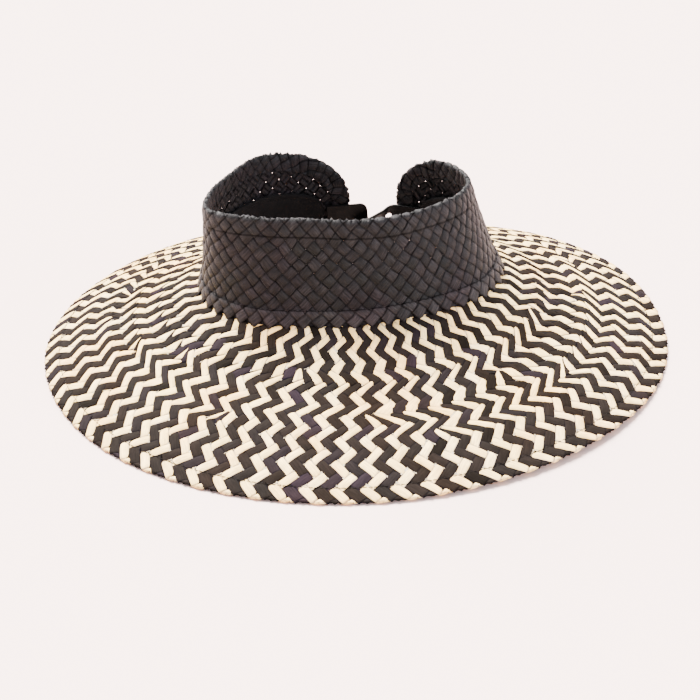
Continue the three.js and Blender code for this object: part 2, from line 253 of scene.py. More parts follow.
def past_edge(points, edge, inside_point):
    """How far points lie outside an edge line, and the inward direction there."""
    batch = 500                          # of the points that are compared with the line at once
    way = unit(np.gradient(edge, axis=0))
    inward = np.stack([-way[:, 1], way[:, 0]], -1)
    nearest = np.argmin(np.linalg.norm(edge - inside_point, axis=1))
    if np.dot(inward[nearest], inside_point - edge[nearest]) < 0:
        inward = -inward
    flat = points.reshape(-1, 2)
    found = np.concatenate([
        np.argmin(((part[:, None] - edge[None]) ** 2).sum(-1), axis=1)
        for part in np.array_split(flat, max(1, len(flat) // batch))])
    outside = -((flat - edge[found]) * inward[found]).sum(-1)
    return outside.reshape(points.shape[:-1]), inward[found].reshape(points.shape)


def grid_faces(columns, rows):
    start = np.arange(columns - 1)[:, None] * rows + np.arange(rows - 1)[None]
    return np.stack([start, start + rows, start + rows + 1, start + 1], -1).reshape(-1, 4)


def new_object(name, points, faces, attributes=None):
    """A mesh object from arrays; an attribute is one value or one vector for each point."""
    mesh = bpy.data.meshes.new(name)
    mesh.from_pydata(np.asarray(points).reshape(-1, 3).tolist(), [], [list(f) for f in faces])
    for label, values in (attributes or {}).items():
        values = np.asarray(values, float)
        kind, field = ("FLOAT_VECTOR", "vector") if values.shape[-1:] == (3,) else ("FLOAT", "value")
        layer = mesh.attributes.new(label, kind, "POINT")
        layer.data.foreach_set(field, values.ravel())
    made = bpy.data.objects.new(name, mesh)
    scene.collection.objects.link(made)
    return made


# A plait's strips are laid out on a flat chart, and a guide surface carries the chart into place. The
# guide knows how far each point is past the free edge, where the plait is turned under, and past the
# sewn edge, where it ends.
brim_chart_size = 0.5


def on_brim_chart(plan):
    return 0.5 + plan / brim_chart_size


def brim_border():
    """Plan line of the brim's free edge: out along the left of the split, round, and back in."""
    start = 0.05                         # radius, well inside the ring
    bend = np.linspace(0, np.pi / 2, 60)
    lines = []
    for end, way in ((left_end, 1), (right_end, -1)):
        full = outline_at("edge", end)
        angle = end + way * np.degrees(brim_corner * (1 - np.cos(bend)) / full)
        radius = outline_at("edge", angle) - brim_corner * (1 - np.sin(bend))
        corner = round_head(angle, radius)
        lines.append(np.concatenate([round_head(np.array([end]), np.array([start])), corner]))
    turn = np.degrees(brim_corner / outline_at("edge", np.array([left_end, right_end])))
    middle = np.linspace(left_end + turn[0], right_end - turn[1], 1500)[1:-1]
    return np.concatenate([lines[0], round_head(middle, outline_at("edge", middle)), lines[1][::-1]])


edge_step = 0.0003
brim_edge_line = even_steps(brim_border(), edge_step)
front_middle = np.array([0.0, -0.15])


def brim_guide():
    """Guide surface of the brim, which runs on past all its edges."""
    past_end = 10.2                      # degrees
    past_ring, past_rim = 0.010, 0.018
    overlap = 0.0003                     # of the plait and the band's foot
    columns, rows = 260, 42
    angles = np.linspace(left_end - past_end, right_end + past_end, columns)
    inner = outline_at("ring", angles) - past_ring
    outer = outline_at("edge", angles) + past_rim
    radius = inner[:, None] + (outer - inner)[:, None] * np.linspace(0, 1, rows)[None]
    angle = np.repeat(angles[:, None], rows, 1)
    plan = round_head(angle, radius)
    outside, inward = past_edge(plan, brim_edge_line, front_middle)
    radial = plan / radius[..., None]
    sewn = outline_at("ring", angle) + overlap - radius
    faces = grid_faces(columns, rows)[:, ::-1]
    return new_object("brim_guide", in_frame(plan, brim_height(angle, radius)), faces, {
        "chart": with_third(on_brim_chart(plan), 0),
        "fold": with_third(inward / brim_chart_size, outside),
        "inward": with_third(inward, 0),
        "sewn": with_third(radial / brim_chart_size, sewn)})


def tube_faces(rings, sides):
    """Faces between the rings of points of a tube."""
    start = np.arange(rings - 1)[:, None] * sides
    a, b = start + np.arange(sides), start + (np.arange(sides) + 1) % sides
    return np.stack([a, b, b + sides, a + sides], -1).reshape(-1, 4)


def strip_piece(name, stations, heights, thickness, edge_fall):
    """A short length of straw strip, closed, lying along X from -1 to 1 or a little past.

    heights follow the stations. The cross-section is a low crown, edge_fall high, over a flat back.
    """
    across = np.array([-1.0, -0.72, 0.0, 0.72, 1.0, 0.97, -0.97])
    rise = np.array([-1.0, -0.22, 0.0, -0.22, -1.0, -0.3, -0.3]) * edge_fall
    back = np.array([0, 0, 0, 0, 0, 1, 1])
    sides = len(across)
    local = np.zeros((len(stations), sides, 3))
    local[..., 0] = stations[:, None]
    local[..., 1] = across
    local[..., 2] = heights[:, None] + rise[None] - back[None] * thickness
    last = (len(stations) - 1) * sides
    faces = tube_faces(len(stations), sides)[:, [0, 3, 2, 1]].tolist()
    faces += [range(sides), range(last + sides - 1, last - 1, -1)]
    made = new_object(name, local, faces, {"local": local})
    sharp = made.data.attributes.new("sharp_edge", "BOOLEAN", "EDGE")
    ridges = (0, 4, 5, 6)
    ends = [tuple(edge.vertices) for edge in made.data.edges]
    sharp.data.foreach_set("value", [a % sides == b % sides and a % sides in ridges for a, b in ends])
    made.data.shade_smooth()
    return made


def number(tree, operation, *values):
    """Result of a Math node."""
    return add_node(tree, "ShaderNodeMath", {"operation": operation}, dict(enumerate(values))).outputs[0]


def vector(tree, operation, *values):
    """Result of a Vector Math node. SCALE takes a vector and a number."""
    keys = (0, "Scale") if operation == "SCALE" else range(3)
    node = add_node(tree, "ShaderNodeVectorMath", {"operation": operation}, dict(zip(keys, values)))
    return node.outputs["Value" if operation == "DOT_PRODUCT" else "Vector"]


def parts(tree, value):
    """The three components of a vector."""
    return add_node(tree, "ShaderNodeSeparateXYZ", None, {0: value}).outputs


def ranged(tree, value, start, end, low, high, smooth=False):
    """A value that goes from low to high while another goes from start to end."""
    settings = {"interpolation_type": "SMOOTHSTEP"} if smooth else {}
    inputs = dict(enumerate((value, start, end, low, high)))
    return add_node(tree, "ShaderNodeMapRange", settings, inputs).outputs[0]


def new_tree(name, inputs):
    """A modifier's tree with its named inputs."""
    tree = bpy.data.node_groups.new(name, "GeometryNodeTree")
    tree.is_modifier = True
    tree.interface.new_socket("Geometry", in_out="OUTPUT", socket_type="NodeSocketGeometry")
    for label, kind in {"Geometry": "Geometry", **inputs, "Material": "Material"}.items():
        tree.interface.new_socket(label, in_out="INPUT", socket_type=f"NodeSocket{kind}")
    return tree, add_node(tree, "NodeGroupInput").outputs


def finish_tree(tree, geometry, material):
    joined = add_node(tree, "GeometryNodeRealizeInstances", None, {0: geometry})
    finished = add_node(tree, "GeometryNodeSetMaterial", None, {
        "Geometry": joined.outputs[0], "Material": material})
    add_node(tree, "NodeGroupOutput", None, {0: finished.outputs[0]})


def plait_tree(name):
    """Lays strips on a chart's points and wraps them over the guide, turning the free edge under."""
    step_width, dip_width = 0.0008, 0.0009        # either side of the seam
    wander_scale = 38.0                           # of the strips' unevenness, over the chart
    # A point past an edge counts 1, and one off the guide counts off_guide. A face is cut off when the
    # mean of its points is over wholly_past.
    off_guide, wholly_past = 100.0, 0.99
    numbers = ("Fold radius", "Turned under", "Layer", "Side", "Seam", "Seam depth", "Step at seam",
               "Wobble", "Open length")
    inputs = {"Strip": "Object", "Guide": "Object", **dict.fromkeys(numbers, "Float")}
    tree, given = new_tree(name, inputs)
    strip, guide = (add_node(tree, "GeometryNodeObjectInfo", None, {"Object": given[label]})
                    for label in ("Strip", "Guide"))
    laid = add_node(tree, "GeometryNodeInstanceOnPoints", None, {
        "Points": given["Geometry"], "Instance": strip.outputs["Geometry"]})
    strips = add_node(tree, "GeometryNodeRealizeInstances", None, {0: laid.outputs[0]}).outputs[0]

    def read(label, kind="FLOAT_VECTOR"):
        return add_node(tree, "GeometryNodeInputNamedAttribute", {"data_type": kind},
                        {"Name": label}).outputs[0]

    def on_guide(value, where, output="Value"):
        return add_node(tree, "GeometryNodeSampleUVSurface", {"data_type": "FLOAT_VECTOR"}, {
            "Mesh": guide.outputs["Geometry"], "Value": value,
            "Source UV Map": read("chart"), "Sample UV": where}).outputs[output]

    local = parts(tree, read("local"))
    both = number(tree, "MULTIPLY", local[0], local[1])
    place = read("centre")
    for label, amount in (("along", local[0]), ("across", local[1]), ("skew", both)):
        place = vector(tree, "ADD", place, vector(tree, "SCALE", read(label), amount))
    wander = add_node(tree, "ShaderNodeTexNoise", {"noise_dimensions": "2D"}, {
        "Vector": place, "Scale": wander_scale, "Detail": 1.0})
    wander = vector(tree, "SUBTRACT", wander.outputs["Color"], (0.5, 0.5, 0.5))
    wander = vector(tree, "SCALE", wander, given["Wobble"])
    place = vector(tree, "ADD", place, vector(tree, "MULTIPLY", wander, (1.0, 1.0, 0.0)))

    # How far the edge's fold has been passed, and the angle turned there
    radius = given["Fold radius"]
    fold = parts(tree, on_guide(read("fold"), place))
    passed = number(tree, "ADD", fold[2], radius)
    over = number(tree, "SUBTRACT", passed, given["Turned under"])
    kept = number(tree, "MINIMUM", passed, given["Turned under"])
    kept = number(tree, "MAXIMUM", kept, 0.0)
    turn = number(tree, "MINIMUM", number(tree, "DIVIDE", kept, radius), math.pi)
    sine = number(tree, "SINE", turn)
    cosine = number(tree, "COSINE", turn)
    spent = number(tree, "MULTIPLY", number(tree, "ADD", sine, turn), radius)
    back = number(tree, "MULTIPLY_ADD", kept, 2.0, number(tree, "MAXIMUM", over, 0.0))
    inward = add_node(tree, "ShaderNodeCombineXYZ", None, {0: fold[0], 1: fold[1]}).outputs[0]
    inward = vector(tree, "SCALE", inward, number(tree, "SUBTRACT", back, spent))
    turned = vector(tree, "ADD", place, inward)

    # The sewn edge, where the plait stops
    sewn = parts(tree, on_guide(read("sewn"), place))
    outward = add_node(tree, "ShaderNodeCombineXYZ", None, {0: sewn[0], 1: sewn[1]}).outputs[0]
    outward = vector(tree, "SCALE", outward, number(tree, "MAXIMUM", sewn[2], 0.0))
    turned = vector(tree, "ADD", turned, outward)

    # The strip's own height, along the normal that turns with the fold
    surface = on_guide(add_node(tree, "GeometryNodeInputPosition").outputs[0], turned)
    normal = on_guide(add_node(tree, "GeometryNodeInputNormal").outputs[0], turned)
    towards = on_guide(read("inward"), place)
    facing = vector(tree, "SUBTRACT", vector(tree, "SCALE", normal, cosine),
                    vector(tree, "SCALE", towards, sine))
    from_seam = number(tree, "ADD", fold[2], given["Seam"])
    step = ranged(tree, from_seam, -step_width, step_width, 0.0, given["Step at seam"], smooth=True)
    beside = number(tree, "ABSOLUTE", from_seam)
    dip = ranged(tree, beside, 0.0, dip_width, given["Seam depth"], 0.0, smooth=True)
    tilt = vector(tree, "DOT_PRODUCT", read("local"), read("tilt"))
    height = number(tree, "ADD", local[2], tilt)
    height = number(tree, "MULTIPLY_ADD", height, given["Side"], given["Layer"])
    height = number(tree, "ADD", number(tree, "SUBTRACT", height, dip), step)
    drop = number(tree, "MULTIPLY", number(tree, "SUBTRACT", cosine, 1.0), radius)
    point = vector(tree, "ADD", surface, vector(tree, "SCALE", normal, drop))
    point = vector(tree, "ADD", point, vector(tree, "SCALE", facing, height))

    # Faces that lie wholly past the turned hem or the sewn edge are cut off, or off the guide at all
    past = number(tree, "GREATER_THAN", number(tree, "MAXIMUM", over, sewn[2]), 0.0)
    past = add_node(tree, "GeometryNodeSwitch", {"input_type": "FLOAT"}, {
        "Switch": on_guide(read("inward"), turned, "Is Valid"), "False": off_guide, "True": past})
    # For the shader: fibres in millimetres, and where it is on a strip, from its middle to where it
    # dives under, to its edge, and to the seam, where it paints shade
    grain = vector(tree, "MULTIPLY_ADD", read("local"), read("size"), read("seed"))
    towards_end = number(tree, "DIVIDE", local[0], given["Open length"])
    on_strip = add_node(tree, "ShaderNodeCombineXYZ", None, {0: towards_end, 1: local[1], 2: from_seam})
    for label, kind, value in (("past", "FLOAT", past.outputs[0]), ("strip", "FLOAT_VECTOR", grain),
                               ("place", "FLOAT_VECTOR", on_strip.outputs[0])):
        strips = add_node(tree, "GeometryNodeStoreNamedAttribute", {"data_type": kind}, {
            0: strips, "Name": label, "Value": value}).outputs[0]
    moved = add_node(tree, "GeometryNodeSetPosition", None, {"Geometry": strips, "Position": point})
    gone = add_node(tree, "FunctionNodeCompare", {"data_type": "FLOAT", "operation": "GREATER_THAN"}, {
        0: read("past", "FLOAT"), 1: wholly_past})
    cut = add_node(tree, "GeometryNodeDeleteGeometry", {"domain": "FACE"}, {
        "Geometry": moved.outputs[0], "Selection": gone.outputs[0]})
    finish_tree(tree, cut.outputs[0], given["Material"])
    return tree


def plain_piece(name, worker, tree, values):
    """Runs a tree on a worker object, and keeps the result as a plain mesh."""
    modifier = worker.modifiers.new(tree.name, "NODES")
    modifier.node_group = tree
    for socket in tree.interface.items_tree:
        if socket.in_out == "INPUT" and socket.name in values:
            modifier[socket.identifier] = values[socket.name]
    layers = bpy.context.evaluated_depsgraph_get()
    made = bpy.data.meshes.new_from_object(
        worker.evaluated_get(layers), preserve_all_data_layers=True, depsgraph=layers)
    made.name = name
    for label in ("centre", "along", "across", "skew", "size", "seed", "tilt", "local", "past"):
        if label in made.attributes:
            made.attributes.remove(made.attributes[label])
    piece = bpy.data.objects.new(name, made)
    scene.collection.objects.link(piece)
    bpy.data.objects.remove(worker)
    return piece


straw_width = 0.96                       # of its place in the plait
pair_count = 66                          # pairs of colours round the edge
cream_width = 0.89                       # of a cream column, where an even share is 1
ring_pitch = 0.00834                     # in plan
rings_to_seam = 14
seam_reach = 0.0100                      # in plan, from the edge in to the stitching
seam_ring = rings_to_seam - 0.25         # the stitching runs through the corners of this ring
brim_unevenness = 0.00014
spare_reach = 0.010                      # of the strips laid out past a hem, to be cut off there
spare_inside = 0.008                     # of those laid out past the ring

# Pairs of strips that start part of the way out, each with the ring where it comes in
new_pairs = {2: 8.0, 6: 9.5, 10: 5.5, 14: 9.0, 17: 10.0, 21: 8.5, 24: 6.5, 28: 9.5, 31: 4.0, 35: 8.0,
             38: 10.0, 42: 7.0, 45: 9.5, 48: 5.0, 52: 8.5, 56: 9.5, 60: 6.0, 63: 9.0}
opening_rings = 1.2
least_opened = 0.22                      # narrower than this, a new pair isn't there yet
first_width = 0.5                        # of a new pair's strips, where they come in


def eased(share):
    return share ** 2 * (3 - 2 * share)


def chart_plan(column, sideways, shift, ring):
    """Plan position in one of the zigzag columns of strips, and how far the column is open.

    sideways runs from -0.5 to 0.5 across the column's own width, which is nothing until the column
    comes in. shift is how far the zigzag has swung, in ordinary columns.
    """
    widths = np.ones((2 * pair_count,) + ring.shape)
    widths[0::2], widths[1::2] = cream_width, 2 - cream_width
    for pair, first_ring in new_pairs.items():
        part = np.clip((ring - first_ring) / opening_rings + 0.5, 0, 1)
        widths[2 * pair:2 * pair + 2] *= eased(part)
    edges = np.concatenate([np.zeros((1,) + ring.shape), np.cumsum(widths, 0)])
    known = np.clip(column, 0, 2 * pair_count - 1).astype(int)
    width = np.take_along_axis(widths, known[None], 0)[0]
    left = np.take_along_axis(edges, known[None], 0)[0] + (column - known)
    place = left + 0.5 * width + sideways * np.maximum(width, first_width) + shift
    angle = left_end + (right_end - left_end) * place / edges[-1]
    radius = outline_at("edge", angle) - seam_reach + (ring - seam_ring) * ring_pitch
    return round_head(angle, radius), width


def float_corners(ring, rising, half_width):
    """Sideways place, shift and ring of a strip's corners, where it lies over two others.

    rising is 1 for strips that rise to the right as they run outward, and -1 for the others. On the
    upper side these are the even rings, and on the lower side the odd ones.
    """
    corners = {}
    for end in (-1, 1):
        for side in (-1, 1):
            out = ring + 0.5 * (0.5 + end) + 0.5 * side * half_width
            swing = out - ring
            shift = np.where(rising > 0, swing, 1 - swing)
            corners[end, side] = (-rising * side * half_width, shift, out)
    return corners


def brim_strips(name, under):
    """Chart of the strips that lie uppermost, or of those seen from below."""
    spare = 5                            # rings and columns past the edges
    cells = []
    for ring in range(-1, rings_to_seam + spare):
        rising = 1 if (ring % 2 == 0) != under else -1
        cells.extend((column, ring, rising) for column in range(-spare, 2 * pair_count + spare))
    cell = np.array(cells, float)
    corners, opened = {}, 0
    for key, (sideways, shift, ring) in float_corners(cell[:, 1], cell[:, 2], straw_width / 2).items():
        corners[key], width = chart_plan(cell[:, 0], sideways, shift, ring)
        opened = opened + width / 4
    return chart_points(name, corners, (cell[:, 0] + under) % 2, cell, on_brim_chart, brim_chart_size,
                        brim_wanted, brim_unevenness, opened)


def brim_wanted(plan):
    """Whether a strip at a plan position is part of the brim or of its hem, with some to spare."""
    angle, radius = polar(plan)
    outside, _ = past_edge(plan, brim_edge_line, front_middle)
    return (radius > outline_at("ring", angle) - spare_inside) & (outside < turned_width + spare_reach)


def scattered(values, rate):
    """A number from 0 to 1 for each value, without order but always the same."""
    return np.modf(np.abs(np.sin(values) * rate))[0]


def chart_points(name, corners, tone, cell, to_chart, chart_size, wanted, unevenness, opened=1):
    """Points for the strips, each with the middle, sides and skew of its place on the chart.

    unevenness is how much a strip's ends and sides may tip up or down, in metres.
    """
    keep = wanted(sum(corners.values()) / 4) & (opened > least_opened)
    at = {key: to_chart(value[keep]) for key, value in corners.items()}
    along = (at[1, 1] + at[1, -1] - at[-1, 1] - at[-1, -1]) / 4
    across = (at[1, 1] - at[1, -1] + at[-1, 1] - at[-1, -1]) / 4
    skew = (at[1, 1] - at[1, -1] - at[-1, 1] + at[-1, -1]) / 4
    centre = sum(at.values()) / 4
    mirrored = along[:, 0] * across[:, 1] - along[:, 1] * across[:, 0] < 0
    across[mirrored] *= -1
    skew[mirrored] *= -1
    scale = chart_size * 1000
    size = np.stack([np.linalg.norm(along, axis=1) * scale, np.linalg.norm(across, axis=1) * scale,
                     np.zeros(len(along))], -1)
    strand = cell[keep, 0] - cell[keep, 2] * cell[keep, 1]
    spread = scattered(strand * 12.9898 + cell[keep, 2] * 4.1, 43758.5453)
    local_spread = scattered(cell[keep] @ [78.233, 37.719, 11.13], 9301.71)
    other_spread = scattered(cell[keep] @ [12.9, 93.7, 51.3], 7123.37)
    tilt = np.stack([local_spread - 0.5, other_spread - 0.5, 0 * strand], -1) * 2 * unevenness
    seed = np.stack([local_spread * 300, strand * 17.0, 0 * strand], -1)       # in millimetres
    laid = {"centre": centre, "along": along, "across": across, "skew": skew}
    return new_object(name, with_third(centre, 0), [], {
        **{label: with_third(pairs, 0) for label, pairs in laid.items()},
        "size": size, "seed": seed, "tilt": tilt, "dark": tone[keep],
        "shade": 0.6 * spread + 0.4 * local_spread})


def noise(tree, place, scale, detail, **more):
    inputs = {"Vector": place, "Scale": scale, "Detail": detail, **more}
    return add_node(tree, "ShaderNodeTexNoise", None, inputs).outputs[0]


def mixed(tree, factor, low, high):
    """A colour between two others, each a link or an sRGB hex colour."""
    low, high = (linear(colour) if isinstance(colour, str) else colour for colour in (low, high))
    inputs = {"Factor": factor, "A": low, "B": high}
    return add_node(tree, "ShaderNodeMix", {"data_type": "RGBA"}, inputs).outputs["Result"]


def bump(tree, height, strength, distance):
    inputs = {"Height": height, "Strength": strength, "Distance": distance}
    return add_node(tree, "ShaderNodeBump", None, inputs).outputs[0]


def object_place(tree):
    return add_node(tree, "ShaderNodeTexCoord").outputs["Object"]


def straw_material(name, light_tones, dark_tones, streaks, edge_shade_start, edge_shade_tint, dye_tint,
                   crease_shade, relief, roughness, gloss):
    """Twisted-paper straw, pressed flat and dyed: matt, with fine fibres along each strip, and painted
    shade along its edges, its ends and a sewn crease.
    """
    material, tree = new_material(name)

    def attribute(label, output):
        return add_node(tree, "ShaderNodeAttribute", {"attribute_name": label}).outputs[output]

    # Fibres about 0.8 mm wide and 8 mm long; the strips' coordinates are in millimetres. A noise lies
    # mostly between 0.3 and 0.7, and the ranges below lie within these.
    fibre_scale, blotch_scale, dye_scale = (0.12, 1.25, 1.0), 160.0, 28.0
    stretched = add_node(tree, "ShaderNodeMapping", None, {
        "Vector": attribute("strip", "Vector"), "Scale": fibre_scale}).outputs[0]
    fibres = noise(tree, stretched, 1.0, 4.0, Roughness=0.7)
    blotches = noise(tree, object_place(tree), blotch_scale, 3.0)
    dye = noise(tree, object_place(tree), dye_scale, 2.0)
    tones = []
    for shades in (light_tones, dark_tones):
        ramp = add_node(tree, "ShaderNodeValToRGB", None, {0: attribute("shade", "Fac")})
        ramp.color_ramp.elements[0].color = linear(shades[0])
        ramp.color_ramp.elements[1].color = linear(shades[-1])
        for place, colour in enumerate(shades[1:-1], 1):
            between = ramp.color_ramp.elements.new(place / (len(shades) - 1))
            between.color = linear(colour)
        tones.append(ramp.outputs[0])
    colour = mixed(tree, attribute("dark", "Fac"), *tones)
    streak = ranged(tree, fibres, 0.32, 0.68, 1 - streaks, 1 + 0.4 * streaks)
    patch = ranged(tree, blotches, 0.3, 0.7, 1 - 0.4 * streaks, 1 + 0.4 * streaks)
    # Painted shade: the folded edges, and the ends where a strip dives under, are darker, and so is a
    # sewn crease, with less shine in both
    place = parts(tree, vector(tree, "ABSOLUTE", attribute("place", "Vector")))
    from_end = number(tree, "ABSOLUTE", number(tree, "SUBTRACT", place[0], 1.0))
    towards_edge = number(tree, "MAXIMUM", place[1], number(tree, "SUBTRACT", 1.0, from_end))
    close = ranged(tree, towards_edge, edge_shade_start, 1.0, 0.0, 1.0, smooth=True)
    # The painted shade at the edges is stronger and weaker in random patches
    shade_patches = ranged(tree, blotches, 0.38, 0.62, 0.35, 1.0)
    close = number(tree, "MULTIPLY", close, shade_patches)
    crease_from, crease_to, relief_height = 0.0001, 0.0010, 0.0005           # in metres
    crease = ranged(tree, place[2], crease_from, crease_to, crease_shade, 1.0, smooth=True)
    tinged = ranged(tree, dye, 0.48, 0.62, 0.0, 1.0)
    for factor, tint in ((close, edge_shade_tint), (tinged, dye_tint)):
        colour = vector(tree, "MULTIPLY", colour, mixed(tree, factor, "#ffffff", tint))
    for factor in (streak, patch, crease):
        colour = vector(tree, "SCALE", colour, factor)
    shine = number(tree, "MULTIPLY", ranged(tree, close, 0.0, 1.0, gloss, 0.3 * gloss), crease)
    finish_material(tree, colour, roughness, shine, bump(tree, fibres, relief, relief_height))
    return material


def speckled_material(name, low, high, scale, detail, roughness, specular):
    """A matt material in two close tones."""
    material, tree = new_material(name)
    tone = mixed(tree, noise(tree, object_place(tree), scale, detail), low, high)
    finish_material(tree, tone, roughness, specular)
    return material


def closed_wall(outside, inside):
    """Points and faces of a closed wall between two skins of columns and rows."""
    columns, rows = outside.shape[:2]
    points = np.concatenate([outside.reshape(-1, 3), inside.reshape(-1, 3)])
    shift = columns * rows               # from a point of the one skin to that of the other
    skin = grid_faces(columns, rows)
    at = np.arange(shift).reshape(columns, rows)
    rim = np.concatenate([at[:, 0], at[-1, 1:], at[-2::-1, -1], at[0, -2:0:-1]])
    ahead = np.roll(rim, -1)
    edge = np.stack([ahead, rim, rim + shift, ahead + shift], -1)
    return points, np.concatenate([skin, skin[:, ::-1] + shift, edge])


def wall_object(name, outside, inside, material):
    """A closed wall as an object. Its volume tells whether its faces point outward."""
    points, faces = closed_wall(outside, inside)
    made = new_object(name, points, faces.tolist())
    volume = 0.0
    for face in faces:
        a, b, c, d = points[face]
        volume += np.dot(a, np.cross(b, c)) + np.dot(a, np.cross(c, d))
    if volume < 0:
        made.data.flip_normals()
    made.data.materials.append(material)
    made.data.shade_smooth()
    return made


def brim_core(material):
    """The layer between the strips seen from above and those seen from below, which carries the painted
    shade seen between them.
    """
    inset = 0.0010                       # from the brim's edge
    depths = (0.00040, 0.00070)          # of its two skins
    past_ring = 0.0004
    ring_radius = 0.09                   # roughly, to turn the inset at the split into an angle
    along_split = 0.12                   # the edge line lies along the split below this radius
    rows, corner_columns, columns = 16, 14, 150
    spacing = 0.9                        # its rows lie a little closer towards the edge
    turn = np.degrees(inset / ring_radius)
    bend = 1 - np.cos(np.linspace(0, np.pi / 2, corner_columns))
    corner_turn = np.degrees(brim_corner / outline_at("edge", np.array([left_end, right_end])))
    angles = np.concatenate([
        left_end + turn + bend[:-1] * corner_turn[0],
        np.linspace(left_end + turn + corner_turn[0], right_end - turn - corner_turn[1], columns),
        right_end - turn - bend[-2::-1] * corner_turn[1]])
    border_angle, border_radius = polar(brim_edge_line)
    order = np.argsort(border_angle)
    far = border_radius > along_split
    order = order[far[order]]
    edge = np.interp(angles, border_angle[order], border_radius[order]) - inset
    inner = outline_at("ring", angles) + past_ring
    radius = inner[:, None] + (edge - inner)[:, None] * np.linspace(0, 1, rows)[None] ** spacing
    angle = np.repeat(angles[:, None], rows, 1)
    plan = round_head(angle, radius)
    height = brim_height(angle, radius)
    skins = [in_frame(plan, height - depth) for depth in depths]
    return wall_object("brim_core", skins[0], skins[1], material)


cream_tones = ("#e8c580", "#ecca84", "#f2d59a")
brown_tones = ("#110e0b", "#1c1714", "#191614", "#211a1f")
# The strips' edges carry painted shade, tinted blue-grey so that it stays neutral on the cream
straw_two_tone = straw_material(
    "plaited_paper_straw", cream_tones, brown_tones, streaks=0.36, edge_shade_start=0.80, edge_shade_tint="#98a3e8",
    dye_tint="#fff4ea", crease_shade=1.0, relief=0.6, roughness=0.8, gloss=0.01)
# The same straw, painted for shade: the underside lies in shade, so it takes greyer, less warm cream
# tones, and its edges carry painted shade
shaded_tones_of_underside = ("#d6c39c", "#dbc9a4", "#e2d2b1")
straw_for_shaded_underside = straw_material(
    "plaited_paper_straw_underside", shaded_tones_of_underside, brown_tones, streaks=0.36, edge_shade_start=0.80,
    edge_shade_tint="#b0b4c4", dye_tint="#fff4ea", crease_shade=1.0, relief=0.6, roughness=0.8, gloss=0.01)
# Painted shade: a dark material for the inside of the plait, seen only between strips
shadow = speckled_material("plait_shadow", "#0d0a09", "#15110f", scale=900.0, detail=2.0,
                           roughness=0.95, specular=0.05)

# A short strip lies over others, and dives under its neighbours at both ends
stations = np.array([-1.13, -0.86, -0.5, 0.0, 0.5, 0.86, 1.13])
level_part, dive_length, dive_depth = 0.45, 0.68, 0.00065
dipped = np.clip((np.abs(stations) - level_part) / dive_length, 0, 1) ** 2 * dive_depth
short_strip = strip_piece("short_strip", stations, straw_crown - dipped, thickness=0.00028,
                          edge_fall=0.00055)

guide = brim_guide()
wrap = plait_tree("wrapped_plait")
hem_limit = turned_width + math.pi * brim_fold_radius
hem_overlap = 0.0015                     # of the underside and the turned hem
no_seam = 1.0                            # metres off, where a plait has no fold or seam
brim_top = plain_piece("brim_plait", brim_strips("brim_chart", False), wrap, {
    "Strip": short_strip, "Guide": guide, "Fold radius": brim_fold_radius, "Turned under": hem_limit,
    "Layer": 0.0, "Side": 1.0, "Seam": turned_width, "Seam depth": 0.00030, "Step at seam": 0.0,
    "Wobble": 0.0022, "Open length": 1.1, "Material": straw_two_tone})
brim_under = plain_piece("brim_underside", brim_strips("underside_chart", True), wrap, {
    "Strip": short_strip, "Guide": guide, "Fold radius": brim_fold_radius,
    "Turned under": brim_fold_radius - turned_width + hem_overlap,
    "Layer": -0.00095, "Side": -1.0, "Seam": no_seam, "Seam depth": 0.0, "Step at seam": 0.0,
    "Wobble": 0.0022, "Open length": 1.1, "Material": straw_for_shaded_underside})
brim_under.data.flip_normals()
core = brim_core(shadow)
bpy.data.objects.remove(guide)
for piece in (brim_top, brim_under, core):
    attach(piece, "root")
    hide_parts("brim")

# Hem stitching of the brim
# One row of brown sewing thread runs all round the brim, 11 mm in from its edge as measured on the
# slope, and holds the turned hem.
stitch_pitch, stitch_length, thread_radius = 0.0030, 0.0028, 0.00019
stitch_sunk = 0.00022                    # into the straw
clear_of_band = 0.004


def stitch_piece(name):
    """A stitch along X: a thread that rises from one hole and goes down the next."""
    sides, stations = 6, 7
    along = np.linspace(-1, 1, stations)
    turn = np.arange(sides) * 2 * np.pi / sides
    points = np.zeros((stations, sides, 3))
    points[..., 0] = along[:, None] * stitch_length / 2
    points[..., 1] = np.sin(turn) * thread_radius
    sag = np.abs(along) ** 3 * thread_radius * 3
    points[..., 2] = np.cos(turn) * thread_radius + (thread_radius * 0.6 - sag)[:, None]
    faces = tube_faces(stations, sides).tolist()
    faces += [range(sides - 1, -1, -1), range((stations - 1) * sides, stations * sides)]
    made = new_object(name, points, faces)
    made.data.shade_smooth()
    return made


def stitch_tree(name):
    """Sets a stitch at even steps along a line, its back against the surface."""
    tree, given = new_tree(name, {"Stitch": "Object", "Pitch": "Float"})
    stitch = add_node(tree, "GeometryNodeObjectInfo", None, {"Object": given["Stitch"]})
    line = add_node(tree, "GeometryNodeMeshToCurve", None, {0: given["Geometry"]})
    steps = add_node(tree, "GeometryNodeResampleCurve", {"mode": "LENGTH"}, {
        "Curve": line.outputs[0], "Length": given["Pitch"]})
    facing = add_node(tree, "GeometryNodeInputNamedAttribute", {"data_type": "FLOAT_VECTOR"}, {
        "Name": "facing"})
    along = add_node(tree, "GeometryNodeInputTangent")
    turn = add_node(tree, "FunctionNodeAlignRotationToVector", {"axis": "X"}, {
        "Vector": along.outputs[0]})
    turn = add_node(tree, "FunctionNodeAlignRotationToVector", {"axis": "Z", "pivot_axis": "X"}, {
        "Rotation": turn.outputs[0], "Vector": facing.outputs[0]})
    laid = add_node(tree, "GeometryNodeInstanceOnPoints", None, {
        "Points": steps.outputs[0], "Instance": stitch.outputs["Geometry"],
        "Rotation": turn.outputs[0]})
    finish_tree(tree, laid.outputs[0], given["Material"])
    return tree


